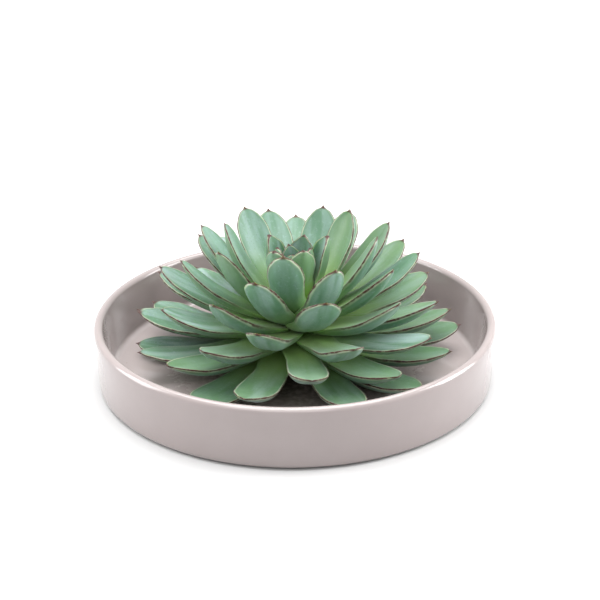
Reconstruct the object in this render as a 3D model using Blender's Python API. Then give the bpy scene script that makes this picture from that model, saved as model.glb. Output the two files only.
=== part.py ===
"""A rosette succulent standing in a shallow glazed bowl. Metres, +Z up, origin under the bowl's middle.

Pieces: the bowl, the root ball on its floor, the stem, the heart bud on top of the stem, and the leaves.
The leaves follow a golden-angle spiral from the lowest and oldest, leaf_01, up to the youngest by the heart.
Each leaf leans out from the stem until it is clear of the younger leaves inside it, as they grow.
"""

import math
import random

import bmesh
import bpy
from mathutils import Matrix, Vector
from mathutils.bvhtree import BVHTree

# Bowl
BOWL_RADIUS = 0.125
BOWL_HEIGHT = 0.040
BOWL_WALL = 0.0058
BOWL_FLOOR = 0.0075
BOWL_TAPER = 0.0020  # how much narrower the wall is outside, at its foot than at the rim
BOWL_INNER_TAPER = 0.0045  # and inside, so that the wall is thicker at its foot
BOWL_OUTER_CORNER = 0.003
BOWL_INNER_CORNER = 0.004
FOOT_INSET = 0.0125  # from the wall to the foot ring's outer edge
FOOT_WIDTH = 0.008
FOOT_RECESS = 0.0010
BOWL_SEGMENTS = 72
CORNER_STEPS = 4
RIM_STEPS = 6

# Root ball, stem and heart
ROOT_RADIUS = 0.030
ROOT_HEIGHT = 0.0060
ROOT_SHOULDER = 0.0025
STEM_RADIUS = 0.0155
STEM_TOP_RADIUS = 0.0085
STEM_FOOT_RADIUS = 0.011
STEM_HEIGHT = 0.0330  # from the root ball's top to the heart's seat
SWELL_AT = 0.25  # where the stem is thickest, as a share of its height
HEART_RADIUS = 0.0130
HEART_HEIGHT = 0.046
TURNED_SEGMENTS = 28
PLANT_PLACE = (0.0007, 0.0040)  # the plant doesn't stand quite in the bowl's middle

# Leaves
LEAF_COUNT = 56
HEART_LEAVES = 7  # the youngest leaves, pressed together as the heart bud
GOLDEN_ANGLE = math.pi * (3 - math.sqrt(5))
SPIRAL_START = math.radians(179)
CROWN_FOOT = 0.0070  # from the stem's foot to the lowest leaf's seat
CROWN_TOP = 0.0025  # from the highest leaf's seat to the stem's top
TIP_ROOM = 0.0050  # between the bowl's wall and a leaf laid out flat from the stem
YOUNG_LENGTH = 0.0580
LENGTH_EASE = 1.70  # how late up the spiral the leaves shorten
LEAF_WIDTH = 0.0255
YOUNG_WIDTH = 0.0210
LEAF_THICKNESS = 0.0062
YOUNG_THICKNESS = 0.0042
SIZE_EASE = 3.0  # how late up the spiral the leaves narrow and thin
CROWN_SHARE = 0.28  # the part of the thickness that lies above the midrib
BASE_SHARE = 0.09
WIDEST_AT = 0.72
LEAF_CUP = 0.10  # how far the margins rise, as a share of the half width
YOUNG_CUP = 0.26
LOWEST_LEAN = math.radians(0)
UPRIGHT_LEAN = math.radians(73)
LEAN_EASE = 1.80  # how late up the spiral the leaves stand up
LEAF_RISE = math.radians(31)  # how far a leaf curves upwards from its base to its tip
RISE_EASE = 1.6
RISE_START = 0.35
LEAF_SIDES = 8
LEAF_RINGS = 11
MIDRIB_STEPS = 24

# How far one leaf may differ from its neighbours
SEED = 15421
TURN_SPREAD = math.radians(6.2)
LEAN_SPREAD = math.radians(0.3)
LENGTH_SPREAD = 0.04
RISE_SPREAD = 0.20
WIDTH_SPREAD = 0.06
CUP_SPREAD = 0.04
TWIST_SPREAD = math.radians(9)

CLEARANCE = 0.0003  # between pieces that touch
LEAF_GAP = 0.0005  # between leaves
LEAN_STEP = math.radians(1)
LEAN_STEPS = 10
SLIMMER = 0.96  # what a leaf with no room at any lean keeps of its width and thickness
SLIMMER_STEPS = 20
UP = Vector((0, 0, 1))

COLOURS = {
    "glaze": ((0.52, 0.44, 0.42), 0.15),
    "peat": ((0.05, 0.035, 0.025), 0.95),
    "stem": ((0.32, 0.36, 0.18), 0.7),
    "heart": ((0.30, 0.45, 0.30), 0.5),
    "leaf": ((0.28, 0.46, 0.33), 0.5),
}


def clear_scene():
    for obj in list(bpy.data.objects):
        bpy.data.objects.remove(obj, do_unlink=True)


def material(name):
    colour, roughness = COLOURS[name]
    made = bpy.data.materials.new(name)
    made.use_nodes = True
    shader = made.node_tree.nodes["Principled BSDF"]
    shader.inputs["Base Color"].default_value = (*colour, 1)
    shader.inputs["Roughness"].default_value = roughness
    shader.inputs["Metallic"].default_value = 0
    return made


def add_object(name, bm, finish):
    bmesh.ops.recalc_face_normals(bm, faces=bm.faces)
    mesh = bpy.data.meshes.new(name)
    bm.to_mesh(mesh)
    bm.free()
    mesh.shade_smooth()
    mesh.set_sharp_from_angle(angle=math.radians(40))
    mesh.materials.append(finish)
    obj = bpy.data.objects.new(name, mesh)
    bpy.context.scene.collection.objects.link(obj)
    return obj


def arc(centre, radius, start, end, steps):
    """Points (radius, height) along an arc in the turning plane, its ends included. Angles in degrees."""
    points = []
    for step in range(steps + 1):
        angle = math.radians(start + (end - start) * step / steps)
        points.append((centre[0] + radius * math.cos(angle), centre[1] + radius * math.sin(angle)))
    return points


def turn(profile, segments):
    """A closed solid turned about Z from (radius, height) points whose ends lie on the axis."""
    bm = bmesh.new()
    verts = [bm.verts.new((radius, 0, height)) for radius, height in profile]
    edges = [bm.edges.new(pair) for pair in zip(verts, verts[1:])]
    bmesh.ops.spin(
        bm,
        geom=verts + edges,
        cent=(0, 0, 0),
        axis=(0, 0, 1),
        angle=math.tau,
        steps=segments,
        use_merge=True,
    )
    bmesh.ops.remove_doubles(bm, verts=bm.verts, dist=1e-6)
    return bm


def inner_radius():
    """The bowl's radius at the foot of its inner wall."""
    return BOWL_RADIUS - BOWL_WALL - BOWL_INNER_TAPER


def bowl_profile():
    """From the middle of the underside, out round the foot and wall, over the rim and down to the floor."""
    foot_radius = BOWL_RADIUS - BOWL_TAPER
    ring_outer = foot_radius - FOOT_INSET
    ring_inner = ring_outer - FOOT_WIDTH
    belly = FOOT_RECESS + BOWL_OUTER_CORNER
    lip = BOWL_WALL / 2
    points = [(0, FOOT_RECESS), (ring_inner, FOOT_RECESS), (ring_inner + FOOT_RECESS, 0)]
    points += [(ring_outer - FOOT_RECESS, 0), (ring_outer, FOOT_RECESS)]
    points += arc((foot_radius - BOWL_OUTER_CORNER, belly), BOWL_OUTER_CORNER, -90, 0, CORNER_STEPS)
    points += arc((BOWL_RADIUS - lip, BOWL_HEIGHT - lip), lip, 0, 180, RIM_STEPS)
    corner = (inner_radius() - BOWL_INNER_CORNER, BOWL_FLOOR + BOWL_INNER_CORNER)
    points += arc(corner, BOWL_INNER_CORNER, 0, -90, CORNER_STEPS)
    points.append((0, BOWL_FLOOR))
    return points


def make_bowl():
    return add_object("bowl", turn(bowl_profile(), BOWL_SEGMENTS), material("glaze"))


def set_plant(obj):
    """Move a piece that was turned about Z to where the plant stands."""
    obj.data.transform(Matrix.Translation((*PLANT_PLACE, 0)))
    return obj


def root_top():
    return BOWL_FLOOR + CLEARANCE + ROOT_HEIGHT


def make_root_ball():
    low = BOWL_FLOOR + CLEARANCE
    top = root_top()
    profile = [(0, low), (ROOT_RADIUS - ROOT_SHOULDER / 2, low), (ROOT_RADIUS, low + ROOT_SHOULDER)]
    profile += arc((ROOT_RADIUS - ROOT_SHOULDER, top - ROOT_SHOULDER), ROOT_SHOULDER, 0, 90, CORNER_STEPS)
    profile.append((0, top))
    return set_plant(add_object("root_ball", turn(profile, TURNED_SEGMENTS), material("peat")))


def stem_foot():
    return root_top() + CLEARANCE


def stem_radius(share):
    """The stem's radius from its foot, 0, to the heart's seat, 1."""
    if share < SWELL_AT:
        return STEM_FOOT_RADIUS + (STEM_RADIUS - STEM_FOOT_RADIUS) * share / SWELL_AT
    return STEM_RADIUS - (STEM_RADIUS - STEM_TOP_RADIUS) * ((share - SWELL_AT) / (1 - SWELL_AT)) ** 1.5


def make_stem():
    profile = [(0, stem_foot())]
    for share in (0, 0.12, SWELL_AT, 0.45, 0.65, 0.85, 1):
        profile.append((stem_radius(share), stem_foot() + STEM_HEIGHT * share))
    profile.append((0, stem_foot() + STEM_HEIGHT))
    return set_plant(add_object("stem", turn(profile, TURNED_SEGMENTS), material("stem")))


def make_heart():
    """The youngest leaves, still closed, as one pointed bud."""
    seat = stem_foot() + STEM_HEIGHT + CLEARANCE
    profile = [(0, seat)]
    for share in (0, 0.18, 0.36, 0.55, 0.74, 0.9):
        swell = math.sin(math.pi * (0.22 + 0.78 * share)) ** 0.7
        profile.append((HEART_RADIUS * swell, seat + HEART_HEIGHT * share))
    profile.append((0, seat + HEART_HEIGHT))
    return set_plant(add_object("heart_bud", turn(profile, TURNED_SEGMENTS), material("heart")))


def width_share(along):
    """The blade's width against its widest, broad from near the base and arched to the pointed tip."""
    if along < WIDEST_AT:
        return math.sin(math.pi / 2 * (BASE_SHARE + (1 - BASE_SHARE) * along / WIDEST_AT) ** 0.8)
    return 1 - ((along - WIDEST_AT) / (1 - WIDEST_AT)) ** 2


def thickness_share(along):
    """The blade's thickness against its thickest: a thinner base, a full middle and a fine tip."""
    return math.sin(math.pi * (0.13 + 0.74 * along)) ** 0.8 * (1 - along**6)


def leaf_frame(leaf, lean, along):
    """The directions ahead, sideways and up from the blade's surface at that share of its length."""
    slope = lean + leaf["rise"] * (along**RISE_EASE - RISE_START)
    sideways = UP.cross(leaf["outward"])
    ahead = leaf["outward"] * math.cos(slope) + UP * math.sin(slope)
    twist = Matrix.Rotation(leaf["twist"] * along, 3, ahead)
    return ahead, twist @ sideways, twist @ ahead.cross(sideways)


def midrib(leaf, lean):
    """Points at equal steps along the middle of the leaf, from its seat to its tip."""
    points = [leaf["seat"]]
    for step in range(MIDRIB_STEPS):
        ahead = leaf_frame(leaf, lean, (step + 0.5) / MIDRIB_STEPS)[0]
        points.append(points[-1] + ahead * (leaf["length"] / MIDRIB_STEPS))
    return points


def on_midrib(points, along):
    step = min(int(along * MIDRIB_STEPS), MIDRIB_STEPS - 1)
    return points[step].lerp(points[step + 1], along * MIDRIB_STEPS - step)


def section_point(leaf, along, cosine, sine, grown):
    """Sideways and up from the midrib to the section's edge, in the direction that cosine and sine give."""
    half_width = leaf["width"] / 2 * width_share(along)
    thickness = leaf["thickness"] * thickness_share(along)
    depth = thickness * (CROWN_SHARE if sine > 0 else 1 - CROWN_SHARE)
    cup = leaf["cup"] * half_width * cosine**2
    return (half_width + grown) * cosine, cup + (depth + grown) * sine


def leaf_mesh(leaf, lean, grown=0.0):
    """A ball drawn out along the midrib. grown makes it that much bigger all round, to test its clearance."""
    bm = bmesh.new()
    bmesh.ops.create_uvsphere(bm, u_segments=LEAF_SIDES, v_segments=LEAF_RINGS, radius=1)
    points = midrib(leaf, lean)
    for vert in bm.verts:
        x, y, z = vert.co
        along = min(max((1 - z) / 2, 0), 1)
        ahead, sideways, upward = leaf_frame(leaf, lean, along)
        place = on_midrib(points, along) - ahead * (z * grown)
        around = math.hypot(x, y)
        if around > 0.001:
            across, over = section_point(leaf, along, x / around, y / around, grown)
            place += sideways * across + upward * over
        vert.co = place
    bmesh.ops.triangulate(bm, faces=bm.faces)
    return bm


def tree_of(bm):
    tree = BVHTree.FromBMesh(bm)
    bm.free()
    return tree


def tree_of_object(obj):
    bm = bmesh.new()
    bm.from_mesh(obj.data)
    return tree_of(bm)


def mixed(old, young, share):
    return old + (young - old) * share


def old_length():
    """The oldest leaves reach from the stem to just inside the bowl's wall."""
    return inner_radius() - math.hypot(*PLANT_PLACE) - STEM_RADIUS - TIP_ROOM


def plan_leaves():
    """Every leaf's place on the spiral, its sizes and the lean it would like, oldest first."""
    chance = random.Random(SEED)
    leaves = []
    for number in range(LEAF_COUNT):
        turn_by, lean_by, length_by, rise_by, width_by, cup_by, twist_by = (
            chance.uniform(-1, 1) for _ in range(7)
        )
        age = number / (LEAF_COUNT + HEART_LEAVES - 1)  # 0 at the oldest leaf, 1 at the heart's middle
        azimuth = SPIRAL_START + number * GOLDEN_ANGLE + turn_by * TURN_SPREAD
        outward = Vector((math.cos(azimuth), math.sin(azimuth), 0))
        height = mixed(CROWN_FOOT, STEM_HEIGHT - CROWN_TOP, number / (LEAF_COUNT - 1))
        thickness = mixed(LEAF_THICKNESS, YOUNG_THICKNESS, age**SIZE_EASE)
        reach = stem_radius(height / STEM_HEIGHT) + CLEARANCE + thickness * thickness_share(0) / 2
        leaf = {"outward": outward, "thickness": thickness}
        leaf["seat"] = Vector((*PLANT_PLACE, stem_foot() + height)) + outward * reach
        leaf["length"] = mixed(old_length(), YOUNG_LENGTH, age**LENGTH_EASE) * (1 + length_by * LENGTH_SPREAD)
        leaf["width"] = mixed(LEAF_WIDTH, YOUNG_WIDTH, age**SIZE_EASE) * (1 + width_by * WIDTH_SPREAD)
        leaf["cup"] = mixed(LEAF_CUP, YOUNG_CUP, age) + cup_by * CUP_SPREAD
        leaf["rise"] = LEAF_RISE * (1 + rise_by * RISE_SPREAD)
        leaf["twist"] = twist_by * TWIST_SPREAD
        leaf["lean"] = mixed(LOWEST_LEAN, UPRIGHT_LEAN, age**LEAN_EASE) + lean_by * LEAN_SPREAD
        leaves.append(leaf)
    return leaves


def find_room(leaf, placed):
    """Lean the leaf out until it is clear of what is in place. A leaf with no room at all grows slimmer."""
    wanted = leaf["lean"]
    for _ in range(SLIMMER_STEPS):
        for step in range(LEAN_STEPS):
            leaf["lean"] = wanted - step * LEAN_STEP
            tree = tree_of(leaf_mesh(leaf, leaf["lean"], LEAF_GAP / 2))
            if not any(tree.overlap(other) for other in placed):
                return tree
        leaf["width"] *= SLIMMER
        leaf["thickness"] *= SLIMMER
    return tree


def main():
    clear_scene()
    placed = [tree_of_object(obj) for obj in (make_bowl(), make_root_ball(), make_stem(), make_heart())]
    leaves = plan_leaves()
    for leaf in reversed(leaves):
        placed.append(find_room(leaf, placed))
    finish = material("leaf")
    for number, leaf in enumerate(leaves, 1):
        add_object(f"leaf_{number:02d}", leaf_mesh(leaf, leaf["lean"]), finish)


main()
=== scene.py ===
import math
import random

import bmesh
import bpy
from mathutils import Matrix, Quaternion, Vector, noise


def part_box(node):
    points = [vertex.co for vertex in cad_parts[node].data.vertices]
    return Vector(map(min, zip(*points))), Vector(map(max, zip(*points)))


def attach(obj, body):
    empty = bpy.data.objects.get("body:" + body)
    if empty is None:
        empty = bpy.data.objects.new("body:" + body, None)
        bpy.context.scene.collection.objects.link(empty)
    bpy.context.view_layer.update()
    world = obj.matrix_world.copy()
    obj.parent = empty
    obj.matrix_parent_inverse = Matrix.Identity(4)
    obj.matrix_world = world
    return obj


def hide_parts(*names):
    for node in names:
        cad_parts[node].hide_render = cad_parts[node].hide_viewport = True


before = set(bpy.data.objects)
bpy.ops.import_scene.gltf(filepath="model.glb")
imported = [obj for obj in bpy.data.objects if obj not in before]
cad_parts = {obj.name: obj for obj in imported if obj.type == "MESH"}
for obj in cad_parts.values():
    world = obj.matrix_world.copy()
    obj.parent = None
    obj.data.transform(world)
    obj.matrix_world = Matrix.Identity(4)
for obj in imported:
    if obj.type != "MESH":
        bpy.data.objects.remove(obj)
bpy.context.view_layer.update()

body = "root"
leafNodes = sorted(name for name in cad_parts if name.startswith("leaf_"))
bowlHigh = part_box("bowl")[1]
stemLow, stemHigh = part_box("stem")
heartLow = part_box("heart_bud")[0]
peatLow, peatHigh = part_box("root_ball")
# the upright line through the stem, which the whole plant stands round
axis = Vector(((stemLow.x + stemHigh.x) / 2, (stemLow.y + stemHigh.y) / 2, 0.0))
print("frame read:", len(leafNodes), "leaves on a stem at", tuple(round(v, 4) for v in axis))


def clamp(value):
    return max(0.0, min(1.0, value))


def smoothStep(low, high, value):
    share = clamp((value - low) / (high - low))
    return share * share * (3 - 2 * share)


def blend(a, b, share):
    return a + (b - a) * share


def showMesh(bm, name, materials, smooth=True):
    # one object at the origin, its place in its mesh
    mesh = bpy.data.meshes.new(name)
    bm.to_mesh(mesh)
    bm.free()
    for material in materials:
        mesh.materials.append(material)
    if smooth:
        mesh.polygons.foreach_set("use_smooth", [True] * len(mesh.polygons))
    piece = bpy.data.objects.new(name, mesh)
    bpy.context.scene.collection.objects.link(piece)
    return piece


def turned(outline, steps, centre=Vector()):
    # a turned body from pairs of radius and height, round the upright line through centre
    bm = bmesh.new()
    profile = [bm.verts.new((centre.x + radius, centre.y, height)) for radius, height in outline]
    lines = [bm.edges.new(pair) for pair in zip(profile, profile[1:])]
    bmesh.ops.spin(bm, geom=profile + lines, axis=(0, 0, 1), cent=centre, angle=math.tau,
                   steps=steps, use_merge=True, use_duplicate=False)
    bmesh.ops.remove_doubles(bm, verts=bm.verts, dist=1e-6)
    bmesh.ops.recalc_face_normals(bm, faces=bm.faces)
    return bm


def settle(piece, slot, *nodes):
    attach(piece, body)
    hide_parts(*nodes)


def newMaterial(name):
    # the material, its tree and its main shader, for the small helpers below to fill in
    material = bpy.data.materials.new(name)
    material.use_nodes = True
    return material, material.node_tree, material.node_tree.nodes["Principled BSDF"]


def put(tree, socket, value):
    if isinstance(value, bpy.types.NodeSocket):
        tree.links.new(value, socket)
    elif isinstance(value, (tuple, list)) and len(value) == 3 and socket.type == "RGBA":
        socket.default_value = (*value, 1.0)
    else:
        socket.default_value = value


def setInputs(shader, values):
    for name, value in values.items():
        shader.inputs[name].default_value = value


def sum2(tree, how, a, b=0.0, clampIt=False):
    # one step of arithmetic between two values
    node = tree.nodes.new("ShaderNodeMath")
    node.operation = how
    node.use_clamp = clampIt
    put(tree, node.inputs[0], a)
    put(tree, node.inputs[1], b)
    return node.outputs[0]


def ramp(tree, value, low, high, lowOut=0.0, highOut=1.0):
    # a smooth step of value from low to high
    node = tree.nodes.new("ShaderNodeMapRange")
    node.interpolation_type = "SMOOTHSTEP"
    put(tree, node.inputs["Value"], value)
    put(tree, node.inputs["From Min"], low)
    put(tree, node.inputs["From Max"], high)
    put(tree, node.inputs["To Min"], lowOut)
    put(tree, node.inputs["To Max"], highOut)
    return node.outputs["Result"]


def mixColour(tree, share, a, b):
    node = tree.nodes.new("ShaderNodeMix")
    node.data_type = "RGBA"
    put(tree, node.inputs["Factor"], share)
    put(tree, node.inputs["A"], a)
    put(tree, node.inputs["B"], b)
    return node.outputs["Result"]


def clouds(tree, where, scale, detail=4.0, rough=0.55, warp=0.0):
    node = tree.nodes.new("ShaderNodeTexNoise")
    put(tree, node.inputs["Vector"], where)
    node.inputs["Scale"].default_value = scale
    node.inputs["Detail"].default_value = detail
    node.inputs["Roughness"].default_value = rough
    node.inputs["Distortion"].default_value = warp
    return node.outputs["Fac"]


def stretched(tree, where, scale):
    node = tree.nodes.new("ShaderNodeMapping")
    put(tree, node.inputs["Vector"], where)
    node.inputs["Scale"].default_value = scale
    return node.outputs["Vector"]


def objectCoords(tree):
    return tree.nodes.new("ShaderNodeTexCoord").outputs["Object"]


def heightOf(tree, place):
    split = tree.nodes.new("ShaderNodeSeparateXYZ")
    put(tree, split.inputs["Vector"], place)
    return split.outputs["Z"]


def reachFrom(tree, place, point):
    # how far place is from the upright line through a point
    node = tree.nodes.new("ShaderNodeVectorMath")
    node.operation = "DISTANCE"
    put(tree, node.inputs[0], stretched(tree, place, (1, 1, 0)))
    node.inputs[1].default_value = tuple(point)
    return node.outputs["Value"]


def attribute(tree, name):
    # what a leaf's mesh says at each point, whole and as its three values
    node = tree.nodes.new("ShaderNodeAttribute")
    node.attribute_name = name
    split = tree.nodes.new("ShaderNodeSeparateXYZ")
    tree.links.new(node.outputs["Vector"], split.inputs["Vector"])
    return node.outputs["Vector"], split.outputs["X"], split.outputs["Y"], split.outputs["Z"]


def bump(tree, height, distance, strength=1.0, under=None):
    node = tree.nodes.new("ShaderNodeBump")
    node.inputs["Strength"].default_value = strength
    node.inputs["Distance"].default_value = distance
    put(tree, node.inputs["Height"], height)
    if under is not None:
        tree.links.new(under, node.inputs["Normal"])
    return node.outputs["Normal"]


# leaf skin: waxy blue-green, lime at the foot, a dark red line round the edge
skinSettings = {
    "waxGreen": (0.152, 0.290, 0.180),
    "deepGreen": (0.066, 0.172, 0.088),
    "youngGreen": (0.098, 0.215, 0.136),
    # the foot's lime, partly a painted glow of light through the leaf
    "limeFootAndGlow": (0.270, 0.430, 0.090),
    "backOlive": (0.135, 0.240, 0.090),
    # wax bloom colour, partly a painted bluish highlight
    "bloomAndHighlight": (0.325, 0.440, 0.430),
    "paleLine": (0.500, 0.540, 0.400),
    "redLine": (0.062, 0.018, 0.016),
    "blush": (0.230, 0.110, 0.080),
    "lineWidth": 1.02,   # mm
    "paleWidth": 1.95,   # mm
    "blushWidth": 4.0,   # mm
    "mottleScale": 55,
    "fineScale": 420,
    "freckleScale": 1100,
    "wanderScale": 160,
    "poreScale": 900,
    "poreHeight": 0.00008,
    "streakScale": (420, 28, 60),   # across and along the leaf, and from leaf to leaf
    "wideScale": (150, 22, 60),
    "ridgeScale": (900, 60, 90),
    "ridgeHeight": 0.00012,
    "darkTip": (0.955, 0.976),      # shares of the leaf's length
    "surface": {
        "Specular IOR Level": 0.42,
        "Subsurface Weight": 0.24,
        "Subsurface Radius": (0.5, 1.0, 0.25),
        "Subsurface Scale": 0.0035,
        "Sheen Weight": 0.10,
        "Sheen Roughness": 0.45,
        "Sheen Tint": (0.86, 0.97, 0.95, 1.0),
    },
}


def makeLeafSkin():
    s = skinSettings
    material, tree, shader = newMaterial("leafSkin")
    place = objectCoords(tree)
    _, gap, along, back = attribute(tree, "leafEdge")
    chart = attribute(tree, "leafMap")[0]
    _, age, tone, tone2 = attribute(tree, "leafTone")
    mottle = clouds(tree, place, s["mottleScale"], 3)
    fine = clouds(tree, place, s["fineScale"], 4)
    streak = clouds(tree, stretched(tree, chart, s["streakScale"]), 1.0, 3)
    wide = clouds(tree, stretched(tree, chart, s["wideScale"]), 1.0, 2)

    green = mixColour(tree, ramp(tree, mottle, 0.30, 0.70, 0.15, 0.75), s["waxGreen"], s["deepGreen"])
    green = mixColour(tree, ramp(tree, age, 0.40, 0.92, 0.0, 0.72), green, s["youngGreen"])
    green = mixColour(tree, ramp(tree, streak, 0.42, 0.70, 0.0, 0.35), green, s["deepGreen"])
    green = mixColour(tree, ramp(tree, back, 0.2, 0.9, 0.0, 0.60), green, s["backOlive"])
    # the oldest leaves, at the bottom, are the darkest
    green = mixColour(tree, ramp(tree, age, 0.0, 0.55, 0.45, 0.0), green, s["deepGreen"])
    # wax bloom on the outer half of the upper face, partly real wax and partly a painted bluish
    # highlight
    patches = ramp(tree, wide, 0.36, 0.64, 0.04, 0.70)
    waxAndHighlight = sum2(tree, "MULTIPLY", ramp(tree, along, 0.15, 0.75, 0.25, 1.0), patches)
    waxAndHighlight = sum2(tree, "MULTIPLY", waxAndHighlight, ramp(tree, back, 0.1, 0.9, 1.0, 0.45))
    waxAndHighlight = sum2(tree, "MULTIPLY", waxAndHighlight, ramp(tree, age, 0.45, 0.95, 1.0, 0.62))
    waxAndHighlight = sum2(tree, "MULTIPLY", waxAndHighlight, ramp(tree, tone, 0.0, 1.0, 0.55, 1.15), True)
    green = mixColour(tree, waxAndHighlight, green, s["bloomAndHighlight"])
    # where the wax is rubbed off the leaf shows in small darker freckles
    freckle = ramp(tree, clouds(tree, place, s["freckleScale"], 3, 0.6), 0.52, 0.72, 0.0, 0.42)
    freckle = sum2(tree, "MULTIPLY", freckle, ramp(tree, mottle, 0.35, 0.6))
    green = mixColour(tree, freckle, green, s["deepGreen"])
    dust = ramp(tree, fine, 0.56, 0.72, 0.0, 0.30)
    dust = sum2(tree, "MULTIPLY", dust, ramp(tree, back, 0.1, 0.9, 1.0, 0.5))
    green = mixColour(tree, dust, green, s["bloomAndHighlight"])
    # lime towards the foot, more on the back: the leaf's own lime, made paler as a painted glow of light
    # shining through the foot
    foot = ramp(tree, along, 0.05, 0.66, 1.0, 0.0)
    foot = sum2(tree, "MULTIPLY", foot, ramp(tree, back, 0.1, 0.9, 0.62, 0.85))
    green = mixColour(tree, foot, green, s["limeFootAndGlow"])
    # the edge: a blush, a darker band, a pale line and the dark red line, strongest at the tip
    toTip = ramp(tree, along, 0.22, 0.66)
    broken = ramp(tree, fine, 0.34, 0.56, 0.70, 1.0)
    blush = ramp(tree, gap, 0.2, s["blushWidth"], 0.42, 0.0)
    blush = sum2(tree, "MULTIPLY", blush, ramp(tree, along, 0.60, 0.97))
    blush = sum2(tree, "MULTIPLY", blush, ramp(tree, tone2, 0.0, 1.0, 0.35, 1.0))
    green = mixColour(tree, blush, green, s["blush"])
    band = sum2(tree, "MULTIPLY", ramp(tree, gap, s["paleWidth"], s["blushWidth"], 0.38, 0.0), toTip)
    green = mixColour(tree, band, green, s["deepGreen"])
    pale = sum2(tree, "MULTIPLY", ramp(tree, gap, s["lineWidth"], s["paleWidth"], 0.60, 0.0), toTip)
    green = mixColour(tree, pale, green, s["paleLine"])
    wander = ramp(tree, clouds(tree, place, s["wanderScale"], 2), 0.3, 0.7, 0.6, 1.25)
    wander = sum2(tree, "MULTIPLY", wander, s["lineWidth"])
    near = sum2(tree, "DIVIDE", gap, wander)
    line = sum2(tree, "MULTIPLY", ramp(tree, near, 0.55, 1.15, 1.0, 0.0), toTip)
    line = sum2(tree, "MULTIPLY", line, broken, True)
    green = mixColour(tree, line, green, s["redLine"])
    green = mixColour(tree, ramp(tree, along, *s["darkTip"]), green, s["redLine"])
    put(tree, shader.inputs["Base Color"], green)

    rough = ramp(tree, mottle, 0.3, 0.7, 0.34, 0.46)
    rough = sum2(tree, "ADD", rough, sum2(tree, "MULTIPLY", waxAndHighlight, 0.10))
    put(tree, shader.inputs["Roughness"], rough)
    setInputs(shader, s["surface"])
    ridges = clouds(tree, stretched(tree, chart, s["ridgeScale"]), 1.0, 2)
    ridged = bump(tree, ridges, s["ridgeHeight"], 0.5)
    pores = clouds(tree, place, s["poreScale"], 3)
    put(tree, shader.inputs["Normal"], bump(tree, pores, s["poreHeight"], 0.5, ridged))
    return material


# leaves: each one is rebuilt round its frame solid, with a blunt rim, a keel and a small point
leafSettings = {
    "seed": 300,
    "sides": 36,
    "rings": 56,
    "rimHalf": 0.00062,       # half the rim's thickness at the broad part
    "footWiden": 1.10,        # how much wider the foot gets, as a share
    "footEnds": 0.42,         # places along the leaf are shares of its length
    "footSink": 0.0035,       # how far the foot reaches towards the stem
    "footHalf": 0.92,         # the foot's half width and thickness, as shares of the first ring's
    "footThick": 0.9,
    "pillow": 0.14,           # how far the upper face swells, as a share of the leaf's thickness
    "groove": 0.10,           # and how far it sinks again along the middle
    "grooveHalf": 0.5,        # the groove's half width, as a share of the half width
    "plump": 1.12,            # swells the keel below
    "crownPower": 2.6,        # how squarely the upper face, its pillow, the keel and the rim fall off
    "pillowPower": 5,
    "keelPower": 1.75,
    "rimPower": 8,
    "fuller": 0.20,           # rounds the shoulders beside the tip
    "shoulder": 0.72,
    "shoulderStop": 0.97,
    "tipStarts": 0.950,
    "tipNarrow": 0.62,
    "tipEnds": 0.985,
    "rimFades": 0.93,
    "rimShare": 0.55,         # the rim's half thickness is at most this share of the half width
    "wave": 0.00042,
    "waveHalf": 0.0128,       # half the width of a leaf whose margin waves by that much
    "wavesAlong": 5.0,
    "waveFades": (0.3, 0.9),
    "fullHalf": 0.0120,       # half the width of a leaf whose edge line is at its full width
}


def solidTracks(node):
    # the frame leaf's foot, its tip, and the middle, half width, rise and fall of each ring between
    bm = bmesh.new()
    bm.from_mesh(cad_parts[node].data)
    bmesh.ops.remove_doubles(bm, verts=bm.verts, dist=1e-6)
    # an end is a point from which the mesh falls into rings of eight, or seven where two have
    # merged, up to a single last point
    rings = []
    for start in bm.verts:
        seen = {start}
        levels = [[start]]
        while True:
            level = []
            for vert in levels[-1]:
                for edge in vert.link_edges:
                    other = edge.other_vert(vert)
                    if other not in seen:
                        seen.add(other)
                        level.append(other)
            if not level:
                break
            levels.append(level)
            if len(level) > 8:
                break
        if len(levels[-1]) == 1 and all(len(level) in (7, 8) for level in levels[1:-1]):
            rings = [[vert.co.copy() for vert in level] for level in levels]
            break
    bm.free()
    spans = [max((a - b).length for a in ring for b in ring) for ring in rings]
    if spans.index(max(spans)) < len(rings) / 2:
        rings.reverse()
        spans.reverse()
    widest = spans.index(max(spans))
    # from the widest ring to the foot, then from there to the tip, each side following the last
    side = None
    first = None
    tracks = [None] * len(rings)
    order = list(range(widest, 0, -1)) + list(range(widest + 1, len(rings) - 1))
    for index in order:
        ring = rings[index]
        if index == widest + 1:
            side = first
        pairs = [(a, b) for a in ring for b in ring if a is not b]
        if side is None:
            left, right = max(pairs, key=lambda pair: (pair[1] - pair[0]).length)
        else:
            reach = [p.dot(side) for p in ring]
            left = ring[reach.index(min(reach))]
            right = ring[reach.index(max(reach))]
        side = (right - left).normalized()
        if first is None:
            first = side
        ahead = (sum(rings[index + 1], Vector()) / len(rings[index + 1])
                 - sum(rings[index - 1], Vector()) / len(rings[index - 1])).normalized()
        up = side.cross(ahead).normalized()
        middle = (left + right) / 2
        core = (right - left).length * 0.2
        rise = [(p - middle).dot(up) for p in ring if abs((p - middle).dot(side)) < core]
        tracks[index] = {
            "middle": middle, "half": (right - left) / 2, "up": up,
            "top": max(rise), "low": min(rise),
        }
    return rings[0][0], tracks[1:-1], rings[-1][0]


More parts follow.
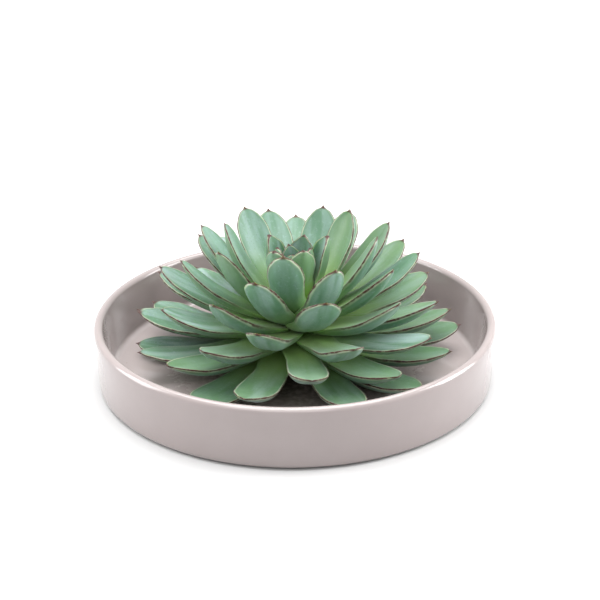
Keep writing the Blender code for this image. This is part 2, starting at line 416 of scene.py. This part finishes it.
def spline(values, at, where):
    # a smooth curve through values (numbers or vectors) at the uneven places at
    last = len(at) - 1
    k = 0
    while k < last - 1 and where > at[k + 1]:
        k += 1
    span = at[k + 1] - at[k]
    share = (where - at[k]) / span
    before = max(0, k - 1)
    after = min(last, k + 2)
    slopeA = (values[k + 1] - values[before]) / (at[k + 1] - at[before])
    slopeB = (values[after] - values[k]) / (at[after] - at[k])
    a = values[k] * (2 * share ** 3 - 3 * share ** 2 + 1)
    b = values[k + 1] * (-2 * share ** 3 + 3 * share ** 2)
    c = slopeA * (span * (share ** 3 - 2 * share ** 2 + share))
    d = slopeB * (span * (share ** 3 - share ** 2))
    return a + b + c + d


def leafMesh(bm, foot, tracks, tip, seed, age, rimHalf):
    # adds to bm a dense leaf shaped round the tracks
    s = leafSettings
    rng = random.Random(seed)
    tone, tone2 = rng.random(), rng.random()
    drift = Vector((rng.random(), rng.random(), rng.random())) * 40
    count = len(tracks)
    places = [(1 - math.cos(math.pi * (k + 1) / (count + 1))) / 2 for k in range(count)]
    at = [0.0] + places + [1.0]
    middles = [foot] + [t["middle"] for t in tracks] + [tip]
    halves = [tracks[0]["half"] * s["footHalf"]] + [t["half"] for t in tracks] + [Vector()]
    ups = [tracks[0]["up"]] + [t["up"] for t in tracks] + [tracks[-1]["up"]]
    tops = [tracks[0]["top"] * s["footThick"]] + [t["top"] for t in tracks] + [0.0]
    lows = [tracks[0]["low"] * s["footThick"]] + [t["low"] for t in tracks] + [0.0]
    length = sum((middles[k + 1] - middles[k]).length for k in range(len(middles) - 1))
    widest = max(h.length for h in halves)
    inward = (foot - tracks[1]["middle"]).normalized()
    # distances from the edge are in mm, up to doubled on small leaves so that their lines are finer
    finer = 1000 * min(2.0, max(1.0, s["fullHalf"] / widest))
    edge = bm.verts.layers.float_vector["leafEdge"]
    chart = bm.verts.layers.float_vector["leafMap"]
    tones = bm.verts.layers.float_vector["leafTone"]
    made = bmesh.ops.create_uvsphere(bm, u_segments=s["sides"], v_segments=s["rings"], radius=1.0)
    cache = {}
    for vert in made["verts"]:
        along = clamp((1 - vert.co.z) / 2)
        key = round(along, 6)
        if key not in cache:
            middle = spline(middles, at, along)
            half = spline(halves, at, along)
            up = spline(ups, at, along).normalized()
            top = spline(tops, at, along)
            low = spline(lows, at, along)
            footShare = 1 - smoothStep(0.0, s["footEnds"], along)
            half = half * (1 + s["footWiden"] * footShare)
            past = clamp((along - s["shoulder"]) / (1 - s["shoulder"]))
            half = half * (1 - min(past, s["shoulderStop"]) ** 2) ** -s["fuller"]
            half = half * (1 - s["tipNarrow"] * smoothStep(s["tipStarts"], s["tipEnds"], along))
            middle = middle + inward * (s["footSink"] * footShare * footShare)
            cache[key] = (middle, half, up, top, low)
        middle, half, up, top, low = cache[key]
        turn = math.atan2(vert.co.y, vert.co.x)
        onPole = vert.co.x ** 2 + vert.co.y ** 2 < 1e-8
        across = 0.0 if onPole else math.cos(turn)
        lift = 0.0 if onPole else math.sin(turn)
        width = half.length
        thick = top - low
        rim = min(rimHalf, width * s["rimShare"]) * (1 - smoothStep(s["rimFades"], 1.0, along))
        blunt = math.sqrt(max(0.0, 1 - across ** s["rimPower"]))
        if lift >= 0:
            crown = top * (1 - abs(across) ** s["crownPower"])
            crown += s["pillow"] * thick * (1 - abs(across) ** s["pillowPower"])
            crown -= s["groove"] * thick * (1 - min(1.0, abs(across) / s["grooveHalf"]) ** 2) ** 2
            height = rim * blunt + crown
        else:
            keel = 1 - abs(across) ** s["keelPower"]
            height = -rim * blunt + (low * s["plump"] + rim) * keel
        if onPole:
            height = 0.0
        waver = noise.noise(drift + Vector((along * s["wavesAlong"], across * 0.6, 0.0)))
        waver2 = noise.noise(drift + Vector((along * s["wavesAlong"] * 1.3, 7.0, across)))
        fadeIn, fadeOut = s["waveFades"]
        fade = smoothStep(0.0, fadeIn, along) * (1 - smoothStep(fadeOut, 1.0, along))
        sway = s["wave"] * widest / s["waveHalf"] * fade
        sideUnit = half.normalized() if width > 1e-7 else Vector()
        co = middle + half * across + up * height
        co += up * (waver * sway * (0.35 + abs(across) ** 2)) + sideUnit * (waver2 * sway * across)
        # for the leaf skin: distance from the edge, share of the length, and how far on the back
        gap = (1 - abs(across)) * width + rim * blunt
        vert[edge] = Vector((gap * finer, along, 0.5 - 0.5 * lift))
        vert[chart] = Vector((across * width, along * length, 0.0)) + drift * 0.01
        vert[tones] = Vector((age, tone, tone2))
        vert.co = co


def newLeafMesh():
    bm = bmesh.new()
    for name in ("leafEdge", "leafMap", "leafTone"):
        bm.verts.layers.float_vector.new(name)
    return bm


leafSkin = makeLeafSkin()
for index, node in enumerate(leafNodes):
    foot, tracks, tip = solidTracks(node)
    bm = newLeafMesh()
    age = index / len(leafNodes)
    leafMesh(bm, foot, tracks, tip, leafSettings["seed"] + index, age, leafSettings["rimHalf"])
    bmesh.ops.recalc_face_normals(bm, faces=bm.faces)
    settle(showMesh(bm, node.replace("leaf_", "leafBlade"), [leafSkin]), "leaf", node)
print("leaves made")


# heart: small leaves wrapped round each other at the middle
heartSettings = {
    "seed": 900,
    "leaves": 12,
    "turn": 137.508,         # degrees from one leaf to the next
    "longest": 0.0455,
    "shortest": 0.0180,
    "width": (0.0225, 0.0100),
    "thickness": 0.0038,
    "lean": (69, 84),        # degrees up from flat, outermost and innermost
    "curl": (13, 22),
    "start": 236,
    "ringOut": 0.0085,
    "rise": 0.0120,
    "steps": 10,
    "fine": 60,              # steps in which the curl is followed
    "gather": 0.85,          # how much nearer to the middle the innermost stands
    "widestAt": 0.66,
    "rimHalf": 0.0004,
    "age": 0.50,             # the tone they take from the leaf skin
    "cup": 0.50,
}


def heartTracks(number):
    s = heartSettings
    share = number / (s["leaves"] - 1)
    turn = math.radians(s["start"] + s["turn"] * number)
    out = Vector((math.cos(turn), math.sin(turn), 0.0))
    side = Vector((-out.y, out.x, 0.0))
    length = blend(s["longest"], s["shortest"], share ** 1.2)
    lean = blend(s["lean"][0], s["lean"][1], share)
    curl = blend(s["curl"][0], s["curl"][1], share)
    point = Vector((axis.x, axis.y, heartLow.z)) + out * s["ringOut"] * (1 - s["gather"] * share)
    point.z += s["rise"] * share
    fine = s["fine"]
    points, angles = [], []
    for k in range(fine + 1):
        slope = math.radians(lean + curl * ((k / fine) ** 1.4 - 0.3) * 2)
        points.append(point.copy())
        angles.append(slope)
        point = point + (out * math.cos(slope) + Vector((0, 0, 1)) * math.sin(slope)) * length / fine
    tracks = []
    for k in range(s["steps"]):
        along = (1 - math.cos(math.pi * (k + 1) / (s["steps"] + 1))) / 2
        at = min(fine, round(along * fine))
        up = Vector((0, 0, 1)) * math.cos(angles[at]) - out * math.sin(angles[at])
        grow = math.sin(math.pi / 2 * (0.30 + 0.70 * min(1.0, along / s["widestAt"])))
        if along > s["widestAt"]:
            grow = 1 - ((along - s["widestAt"]) / (1 - s["widestAt"])) ** 2
        half = blend(s["width"][0], s["width"][1], share) / 2 * grow
        thick = s["thickness"] * blend(1.0, 0.7, share) * math.sin(math.pi * (0.15 + 0.7 * along))
        cup = half * s["cup"]
        tracks.append({
            "middle": points[at] + up * cup, "half": side * half, "up": up,
            "top": thick * 0.25 - cup * 0.9, "low": -thick * 0.75 - cup * 0.9,
        })
    return points[0], tracks, points[-1]


def makeHeart():
    s = heartSettings
    bm = newLeafMesh()
    for number in range(s["leaves"]):
        foot, tracks, tip = heartTracks(number)
        leafMesh(bm, foot, tracks, tip, s["seed"] + number, s["age"], s["rimHalf"])
    bmesh.ops.recalc_face_normals(bm, faces=bm.faces)
    settle(showMesh(bm, "heartLeaves", [leafSkin]), "heart", "heart_bud")


makeHeart()
print("heart made")


# bowl: a wheel-thrown dish under a glossy rose-taupe glaze, on a bare foot ring
bowlSettings = {
    "wall": 0.0058,
    "floor": 0.0075,
    "taper": 0.0020,
    "innerTaper": 0.0045,
    "inside": 0.00003,       # how much smaller the glazed wall is than its solid
    "outerCorner": 0.0030,
    "innerCorner": 0.0040,
    "footInset": 0.0125,
    "footWidth": 0.0080,
    "recess": 0.0010,
    "footRound": 0.0009,
    "footStep": 0.0004,      # the foot ring meets the underside a little outwards
    "steps": 240,
    "waver": 0.00010,
    "waverFrom": 0.03,       # from the axis
    "glaze": (0.298, 0.254, 0.248),
    "glazeDeep": (0.264, 0.222, 0.217),
    "rimPale": (0.345, 0.298, 0.290),
    "rimBand": (0.0026, 0.0003),   # below the top of the rim
    # painted light on the floor inside
    "floorPaintedLight": (0.450, 0.392, 0.384),
    "floorBand": (0.0010, 0.0004),   # below the floor inside, so that the underside stays as it is
    # painted shade under the leaves, with a little soil
    "soilAndShade": (0.075, 0.055, 0.042),
    "soilAndShadeReach": (0.042, 0.096),   # from the stem's axis, thickest and last
    "pinhole": (0.220, 0.170, 0.140),
    "clay": (0.640, 0.560, 0.470),
    "clayDark": (0.460, 0.390, 0.310),
    "clayScale": 900,
    "clayHeight": 0.0002,
    "claySlack": 0.0006,     # how far beside the foot ring it stays bare
    "poolScale": 22,
    "fineScale": 260,
    "rimScale": 40,
    "pinholeScale": 95,
    "throwScale": (3, 3, 190),
    "throwHeight": 0.00045,
    "speckHeight": 0.00005,
    "gloss": 0.16,
    "surface": {
        "Specular IOR Level": 0.65,
        "Coat Weight": 0.45,
        "Coat Roughness": 0.06,
    },
}


def arcPoints(centre, radius, fromTurn, toTurn, steps):
    points = []
    for k in range(steps + 1):
        turn = math.radians(fromTurn + (toTurn - fromTurn) * k / steps)
        points.append((centre[0] + radius * math.cos(turn), centre[1] + radius * math.sin(turn)))
    return points


def between(start, end, steps):
    # the points that divide a straight stretch, without its ends
    shares = [k / steps for k in range(1, steps)]
    return [(blend(start[0], end[0], share), blend(start[1], end[1], share)) for share in shares]


def bowlOutline():
    # radius and height, from the middle of the underside round the rim to the middle of the floor
    s = bowlSettings
    radius = bowlHigh.x - s["inside"]
    height = bowlHigh.z
    lowRadius = radius - s["taper"]
    outer = s["outerCorner"]
    wall = s["wall"]
    inner = s["innerCorner"]
    lean = math.degrees(math.atan2(s["taper"], height))
    footStep = s["footStep"]
    footOut = lowRadius - s["footInset"]
    footIn = footOut - s["footWidth"]
    footRound = s["footRound"]
    points = [(0.0, s["recess"])]
    points += [(footIn * k / 12, s["recess"]) for k in range(1, 12)]
    points += [(footIn - footRound, s["recess"])]
    points += arcPoints((footIn + footRound, footRound), footRound, 180, 270, 5)
    points += arcPoints((footOut - footRound, footRound), footRound, 270, 360, 5)
    points += [(footOut + footStep, s["recess"])]
    points += [(lowRadius - outer, s["recess"])]
    points += arcPoints((lowRadius - outer + footStep, s["recess"] + outer), outer, 270, 360 - lean, 12)
    topCentre = (radius - wall / 2, height - wall / 2)
    points += between(points[-1], (radius, topCentre[1]), 8)
    points += arcPoints(topCentre, wall / 2, 0, 180, 20)
    innerTop = radius - wall
    innerLow = innerTop - s["innerTaper"]
    floor = s["floor"]
    points += between((innerTop, topCentre[1]), (innerLow, floor + inner), 8)
    points += arcPoints((innerLow - inner, floor + inner), inner, 0, -90, 10)
    start = points[-1][0]
    points += [(start * (1 - k / 30), floor) for k in range(1, 30)]
    points += [(0.0, floor)]
    return points


def makeGlaze():
    s = bowlSettings
    material, tree, shader = newMaterial("roseTaupeGlaze")
    place = objectCoords(tree)
    height = heightOf(tree, place)
    pooled = clouds(tree, place, s["poolScale"], 3)
    fine = clouds(tree, place, s["fineScale"], 5)
    throwing = clouds(tree, stretched(tree, place, s["throwScale"]), 1.0, 2)
    colour = mixColour(tree, ramp(tree, pooled, 0.30, 0.72, 0.0, 0.55), s["glaze"], s["glazeDeep"])
    colour = mixColour(tree, ramp(tree, fine, 0.45, 0.75, 0.0, 0.10), colour, s["glazeDeep"])
    insideEdge = bowlHigh.x - s["wall"]
    insideWall = ramp(tree, reachFrom(tree, place, Vector()), insideEdge, insideEdge + 0.0010, 1.0, 0.0)
    # the glaze breaks thin and pale over the rim
    edge = ramp(tree, height, bowlHigh.z - s["rimBand"][0], bowlHigh.z - s["rimBand"][1])
    worn = ramp(tree, clouds(tree, place, s["rimScale"], 2), 0.3, 0.7, 0.65, 1.0)
    edge = sum2(tree, "MULTIPLY", edge, worn)
    colour = mixColour(tree, edge, colour, s["rimPale"])
    # and the floor inside is painted paler: painted light, where the leaves and walls keep the lamps off
    # it
    inside = ramp(tree, height, s["floor"] + 0.0003, s["floor"] + s["innerCorner"], 1.0, 0.0)
    above = ramp(tree, height, s["floor"] - s["floorBand"][0], s["floor"] - s["floorBand"][1])
    inside = sum2(tree, "MULTIPLY", inside, above)
    inside = sum2(tree, "MULTIPLY", inside, insideWall)
    colour = mixColour(tree, inside, colour, s["floorPaintedLight"])
    # a dark film round the root ball, thinning out towards the wall: partly soil, mostly painted shade
    # under the leaves
    soilAndShade = ramp(tree, reachFrom(tree, place, axis), *s["soilAndShadeReach"], 0.80, 0.0)
    soilAndShade = sum2(tree, "MULTIPLY", soilAndShade, ramp(tree, fine, 0.30, 0.62, 0.55, 1.0))
    soilAndShade = sum2(tree, "MULTIPLY", soilAndShade, inside)
    colour = mixColour(tree, soilAndShade, colour, s["soilAndShade"])
    pin = tree.nodes.new("ShaderNodeTexVoronoi")
    put(tree, pin.inputs["Vector"], place)
    pin.inputs["Scale"].default_value = s["pinholeScale"]
    pits = ramp(tree, pin.outputs["Distance"], 0.030, 0.055, 1.0, 0.0)
    pits = sum2(tree, "MULTIPLY", pits, ramp(tree, pooled, 0.50, 0.62))
    colour = mixColour(tree, sum2(tree, "MULTIPLY", pits, 0.5), colour, s["pinhole"])
    put(tree, shader.inputs["Base Color"], colour)
    rough = ramp(tree, fine, 0.3, 0.7, s["gloss"] - 0.03, s["gloss"] + 0.05)
    rough = sum2(tree, "ADD", rough, sum2(tree, "MULTIPLY", soilAndShade, 0.6), True)
    put(tree, shader.inputs["Roughness"], rough)
    setInputs(shader, s["surface"])
    level = sum2(tree, "ADD", sum2(tree, "MULTIPLY", throwing, 0.5), pooled)
    soft = bump(tree, level, s["throwHeight"], 0.35)
    specks = sum2(tree, "SUBTRACT", fine, pits)
    put(tree, shader.inputs["Normal"], bump(tree, specks, s["speckHeight"], 0.35, soft))
    return material


def makeClay():
    s = bowlSettings
    material, tree, shader = newMaterial("bareClay")
    place = objectCoords(tree)
    grain = clouds(tree, place, s["clayScale"], 5)
    put(tree, shader.inputs["Base Color"], mixColour(tree, grain, s["clay"], s["clayDark"]))
    put(tree, shader.inputs["Roughness"], ramp(tree, grain, 0.3, 0.7, 0.78, 0.92))
    put(tree, shader.inputs["Normal"], bump(tree, grain, s["clayHeight"], 0.5))
    return material


def makeBowl():
    s = bowlSettings
    bm = turned(bowlOutline(), s["steps"])
    footOut = bowlHigh.x - s["taper"] - s["footInset"]
    for face in bm.faces:
        centre = face.calc_center_median()
        fromRing = abs(math.hypot(centre.x, centre.y) - footOut + s["footWidth"] / 2)
        onFoot = fromRing < s["footWidth"] / 2 + s["claySlack"]
        face.material_index = 1 if onFoot and centre.z < s["recess"] - 0.0001 else 0
    for vert in bm.verts:
        # the wheel leaves the wall a hair uneven, always inwards, so that it stays in its box
        radius = math.hypot(vert.co.x, vert.co.y)
        if s["waverFrom"] < radius < bowlHigh.x - 0.0003 and vert.co.z > s["recess"] + 0.0002:
            turn = math.atan2(vert.co.y, vert.co.x)
            place = Vector((math.cos(turn) * 2, math.sin(turn) * 2, vert.co.z * 60))
            give = s["waver"] * noise.noise(place)
            vert.co.x *= 1 - abs(give) / radius
            vert.co.y *= 1 - abs(give) / radius
    settle(showMesh(bm, "glazedBowl", [makeGlaze(), makeClay()]), "glaze", "bowl")


makeBowl()
print("bowl made")


# peat: the low crumbly root ball under the plant
peatSettings = {
    "seed": 77,
    "steps": 120,
    "lowRound": 0.0022,
    "topRound": 0.0028,
    "topInset": 0.0030,
    "rough": 0.0011,
    "lumpScale": 260,
    "plainBase": 0.0008,     # kept free of lumps
    "crumbs": 90,
    "crumbSize": (0.0006, 0.0016),
    "dark": (0.020, 0.012, 0.008),
    "warm": (0.085, 0.052, 0.030),
    "grainScale": 700,
    "grainHeight": 0.0006,
    "patchScale": 120,
}


def makePeatLook():
    s = peatSettings
    material, tree, shader = newMaterial("darkPeat")
    place = objectCoords(tree)
    grain = clouds(tree, place, s["grainScale"], 6, 0.65)
    patch = clouds(tree, place, s["patchScale"], 3)
    colour = mixColour(tree, ramp(tree, grain, 0.35, 0.70), s["dark"], s["warm"])
    colour = mixColour(tree, ramp(tree, patch, 0.45, 0.75, 0.0, 0.6), colour, s["dark"])
    put(tree, shader.inputs["Base Color"], colour)
    put(tree, shader.inputs["Roughness"], ramp(tree, patch, 0.3, 0.7, 0.80, 0.96))
    put(tree, shader.inputs["Normal"], bump(tree, grain, s["grainHeight"], 0.8))
    return material


def makePeat():
    s = peatSettings
    radius = (peatHigh.x - peatLow.x) / 2 - s["rough"] * 0.6
    base, top = peatLow.z, peatHigh.z - s["rough"] * 0.5
    outline = [(0.0, base), (radius * 0.5, base), (radius * 0.97, base)]
    lowRound, topRound = s["lowRound"], s["topRound"]
    topRadius = radius - s["topInset"]
    outline += arcPoints((radius - lowRound, base + lowRound), lowRound, -70, 20, 5)
    outline += arcPoints((topRadius, top - topRound), topRound, 10, 90, 6)
    outline += [(topRadius * (1 - k / 16), top) for k in range(1, 16)] + [(0.0, top)]
    bm = turned(outline, s["steps"], axis)
    for vert in bm.verts:
        if vert.co.z > base + s["plainBase"]:
            lump = noise.fractal(vert.co * s["lumpScale"], 0.9, 2.1, 4)
            vert.co += vert.normal * max(-1.0, min(0.55, lump)) * s["rough"]
            vert.co.z = max(base + 0.0003, vert.co.z)
    rng = random.Random(s["seed"])
    for _ in range(s["crumbs"]):
        turn = rng.random() * math.tau
        reach = radius * math.sqrt(rng.uniform(0.35, 0.92))
        size = rng.uniform(*s["crumbSize"])
        spot = axis + Vector((math.cos(turn) * reach, math.sin(turn) * reach, top - size * 0.35))
        squash = Matrix.Diagonal((1.0, rng.uniform(0.6, 1.0), rng.uniform(0.5, 0.8), 1.0))
        spin = Quaternion((rng.random() - 0.5, rng.random() - 0.5, rng.random() - 0.5, 1.0)).normalized()
        placed = Matrix.Translation(spot) @ spin.to_matrix().to_4x4() @ squash
        bmesh.ops.create_icosphere(bm, subdivisions=1, radius=size, matrix=placed)
    settle(showMesh(bm, "peatBall", [makePeatLook()]), "peat", "root_ball")


makePeat()
print("peat made")


# stem: a thick fleshy stalk ringed with old leaf scars
stemSettings = {
    "steps": 96,
    "rings": 70,
    "scarPitch": 0.0030,
    "scarDepth": 0.0004,
    "fleshGreen": (0.230, 0.330, 0.110),
    "paleGreen": (0.320, 0.400, 0.200),
    "corkBrown": (0.200, 0.130, 0.070),
    "corkHeight": 0.010,
    "undersize": 0.0003,     # keeps the scars inside the solid
    "scarTurns": 3,
    "plainCore": 0.002,      # kept free of scars, round the axis and at both ends
    "plainEnds": 0.0004,
    "mottleScale": 240,
    "fleshScale": 600,
    "fleshHeight": 0.0003,
    "surface": {
        "Subsurface Weight": 0.08,
        "Subsurface Radius": (0.5, 0.8, 0.2),
        "Subsurface Scale": 0.003,
    },
}


def makeStemLook():
    s = stemSettings
    material, tree, shader = newMaterial("stemFlesh")
    place = objectCoords(tree)
    mottle = clouds(tree, place, s["mottleScale"], 4)
    height = heightOf(tree, place)
    corky = ramp(tree, height, stemLow.z, stemLow.z + s["corkHeight"], 0.85, 0.05)
    corky = sum2(tree, "MULTIPLY", corky, ramp(tree, mottle, 0.3, 0.6, 0.5, 1.1), True)
    colour = mixColour(tree, corky, s["fleshGreen"], s["corkBrown"])
    colour = mixColour(tree, ramp(tree, mottle, 0.5, 0.8, 0.0, 0.4), colour, s["paleGreen"])
    put(tree, shader.inputs["Base Color"], colour)
    put(tree, shader.inputs["Roughness"], ramp(tree, mottle, 0.3, 0.7, 0.5, 0.7))
    setInputs(shader, s["surface"])
    flesh = clouds(tree, place, s["fleshScale"], 4)
    put(tree, shader.inputs["Normal"], bump(tree, flesh, s["fleshHeight"], 0.6))
    return material


def stemOutline():
    # the frame stem's own outline, read from its mesh as radius against height
    heights = {}
    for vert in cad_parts["stem"].data.vertices:
        reach = math.hypot(vert.co.x - axis.x, vert.co.y - axis.y)
        level = round(vert.co.z, 5)
        heights[level] = max(heights.get(level, 0.0), reach)
    levels = sorted(heights)
    radii = [heights[level] for level in levels]
    return levels, radii


def makeStem():
    s = stemSettings
    levels, radii = stemOutline()
    outline = [(0.0, levels[0])]
    for k in range(s["rings"] + 1):
        height = blend(levels[0], levels[-1], k / s["rings"])
        outline.append((max(0.0006, spline(radii, levels, height)) - s["undersize"], height))
    outline.append((0.0, levels[-1]))
    bm = turned(outline, s["steps"], axis)
    lowest, highest = levels[0] + s["plainEnds"], levels[-1] - s["plainEnds"]
    for vert in bm.verts:
        out = Vector((vert.co.x - axis.x, vert.co.y - axis.y, 0.0))
        if out.length < s["plainCore"] or not lowest < vert.co.z < highest:
            continue
        turn = math.atan2(out.y, out.x)
        climb = vert.co.z + s["scarPitch"] * turn / math.tau * s["scarTurns"]
        groove = 1 - abs(2 * (climb / s["scarPitch"] % 1) - 1)
        vert.co -= out.normalized() * s["scarDepth"] * smoothStep(0.6, 1.0, groove)
    settle(showMesh(bm, "stemStalk", [makeStemLook()]), "stem", "stem")


makeStem()
print("stem made")


# floor, light and camera
stageSettings = {
    "floorSize": 8.0,
    "floorColour": (0.58, 0.58, 0.58),
    "floorSurface": {"Roughness": 0.85, "Specular IOR Level": 0.1},
    "sky": (1.0, 1.0, 1.0),
    "skyStrength": 0.78,
    "aim": Vector((0.0, 0.0, 0.03)),
    "lamps": (
        # name, place, size, power in watts
        ("leftWindow", (-0.95, 0.05, 0.42), (0.5, 0.7), 6.5),
        ("rightWindow", (0.95, 0.05, 0.42), (0.5, 0.7), 10.0),
        ("topBox", (-0.05, 0.30, 2.40), (2.6, 2.6), 93.0),
        ("frontBox", (-0.30, -1.70, 1.70), (2.2, 1.2), 12.0),
    ),
}


def makeStage():
    s = stageSettings
    bm = bmesh.new()
    bmesh.ops.create_grid(bm, x_segments=1, y_segments=1, size=s["floorSize"] / 2)
    material, tree, shader = newMaterial("paleFloor")
    put(tree, shader.inputs["Base Color"], s["floorColour"])
    setInputs(shader, s["floorSurface"])
    floor = showMesh(bm, "paleFloor", [material], False)
    world = bpy.data.worlds.new("studio")
    world.use_nodes = True
    back = world.node_tree.nodes["Background"]
    back.inputs["Color"].default_value = (*s["sky"], 1.0)
    back.inputs["Strength"].default_value = s["skyStrength"]
    bpy.context.scene.world = world
    for name, place, size, power in s["lamps"]:
        lamp = bpy.data.lights.new(name, "AREA")
        lamp.shape = "RECTANGLE"
        lamp.size, lamp.size_y = size
        lamp.energy = power
        holder = bpy.data.objects.new(name, lamp)
        holder.location = place
        aim = s["aim"] - Vector(place)
        holder.rotation_mode = "QUATERNION"
        holder.rotation_quaternion = aim.to_track_quat("-Z", "Y")
        bpy.context.scene.collection.objects.link(holder)
    bpy.context.scene.view_settings.view_transform = "Standard"


cameraSettings = {
    "target": Vector((0.0034, 0.0, 0.0505)),
    "distance": 1.0,
    "elevation": 24.26,
    "lens": 96.5,
    "roll": 0.62,
}


def makeCamera():
    s = cameraSettings
    camera = bpy.data.cameras.new("studioCamera")
    camera.lens = s["lens"]
    camera.sensor_width = 36.0
    holder = bpy.data.objects.new("studioCamera", camera)
    rise = math.radians(s["elevation"])
    back = Vector((0.0, -math.cos(rise), math.sin(rise)))
    holder.location = s["target"] + back * s["distance"]
    holder.rotation_mode = "QUATERNION"
    level = (-back).to_track_quat("-Z", "Y")
    holder.rotation_quaternion = Quaternion(-back, math.radians(s["roll"])) @ level
    bpy.context.scene.collection.objects.link(holder)
    bpy.context.scene.camera = holder


makeStage()
makeCamera()
print("stage, light and camera set")
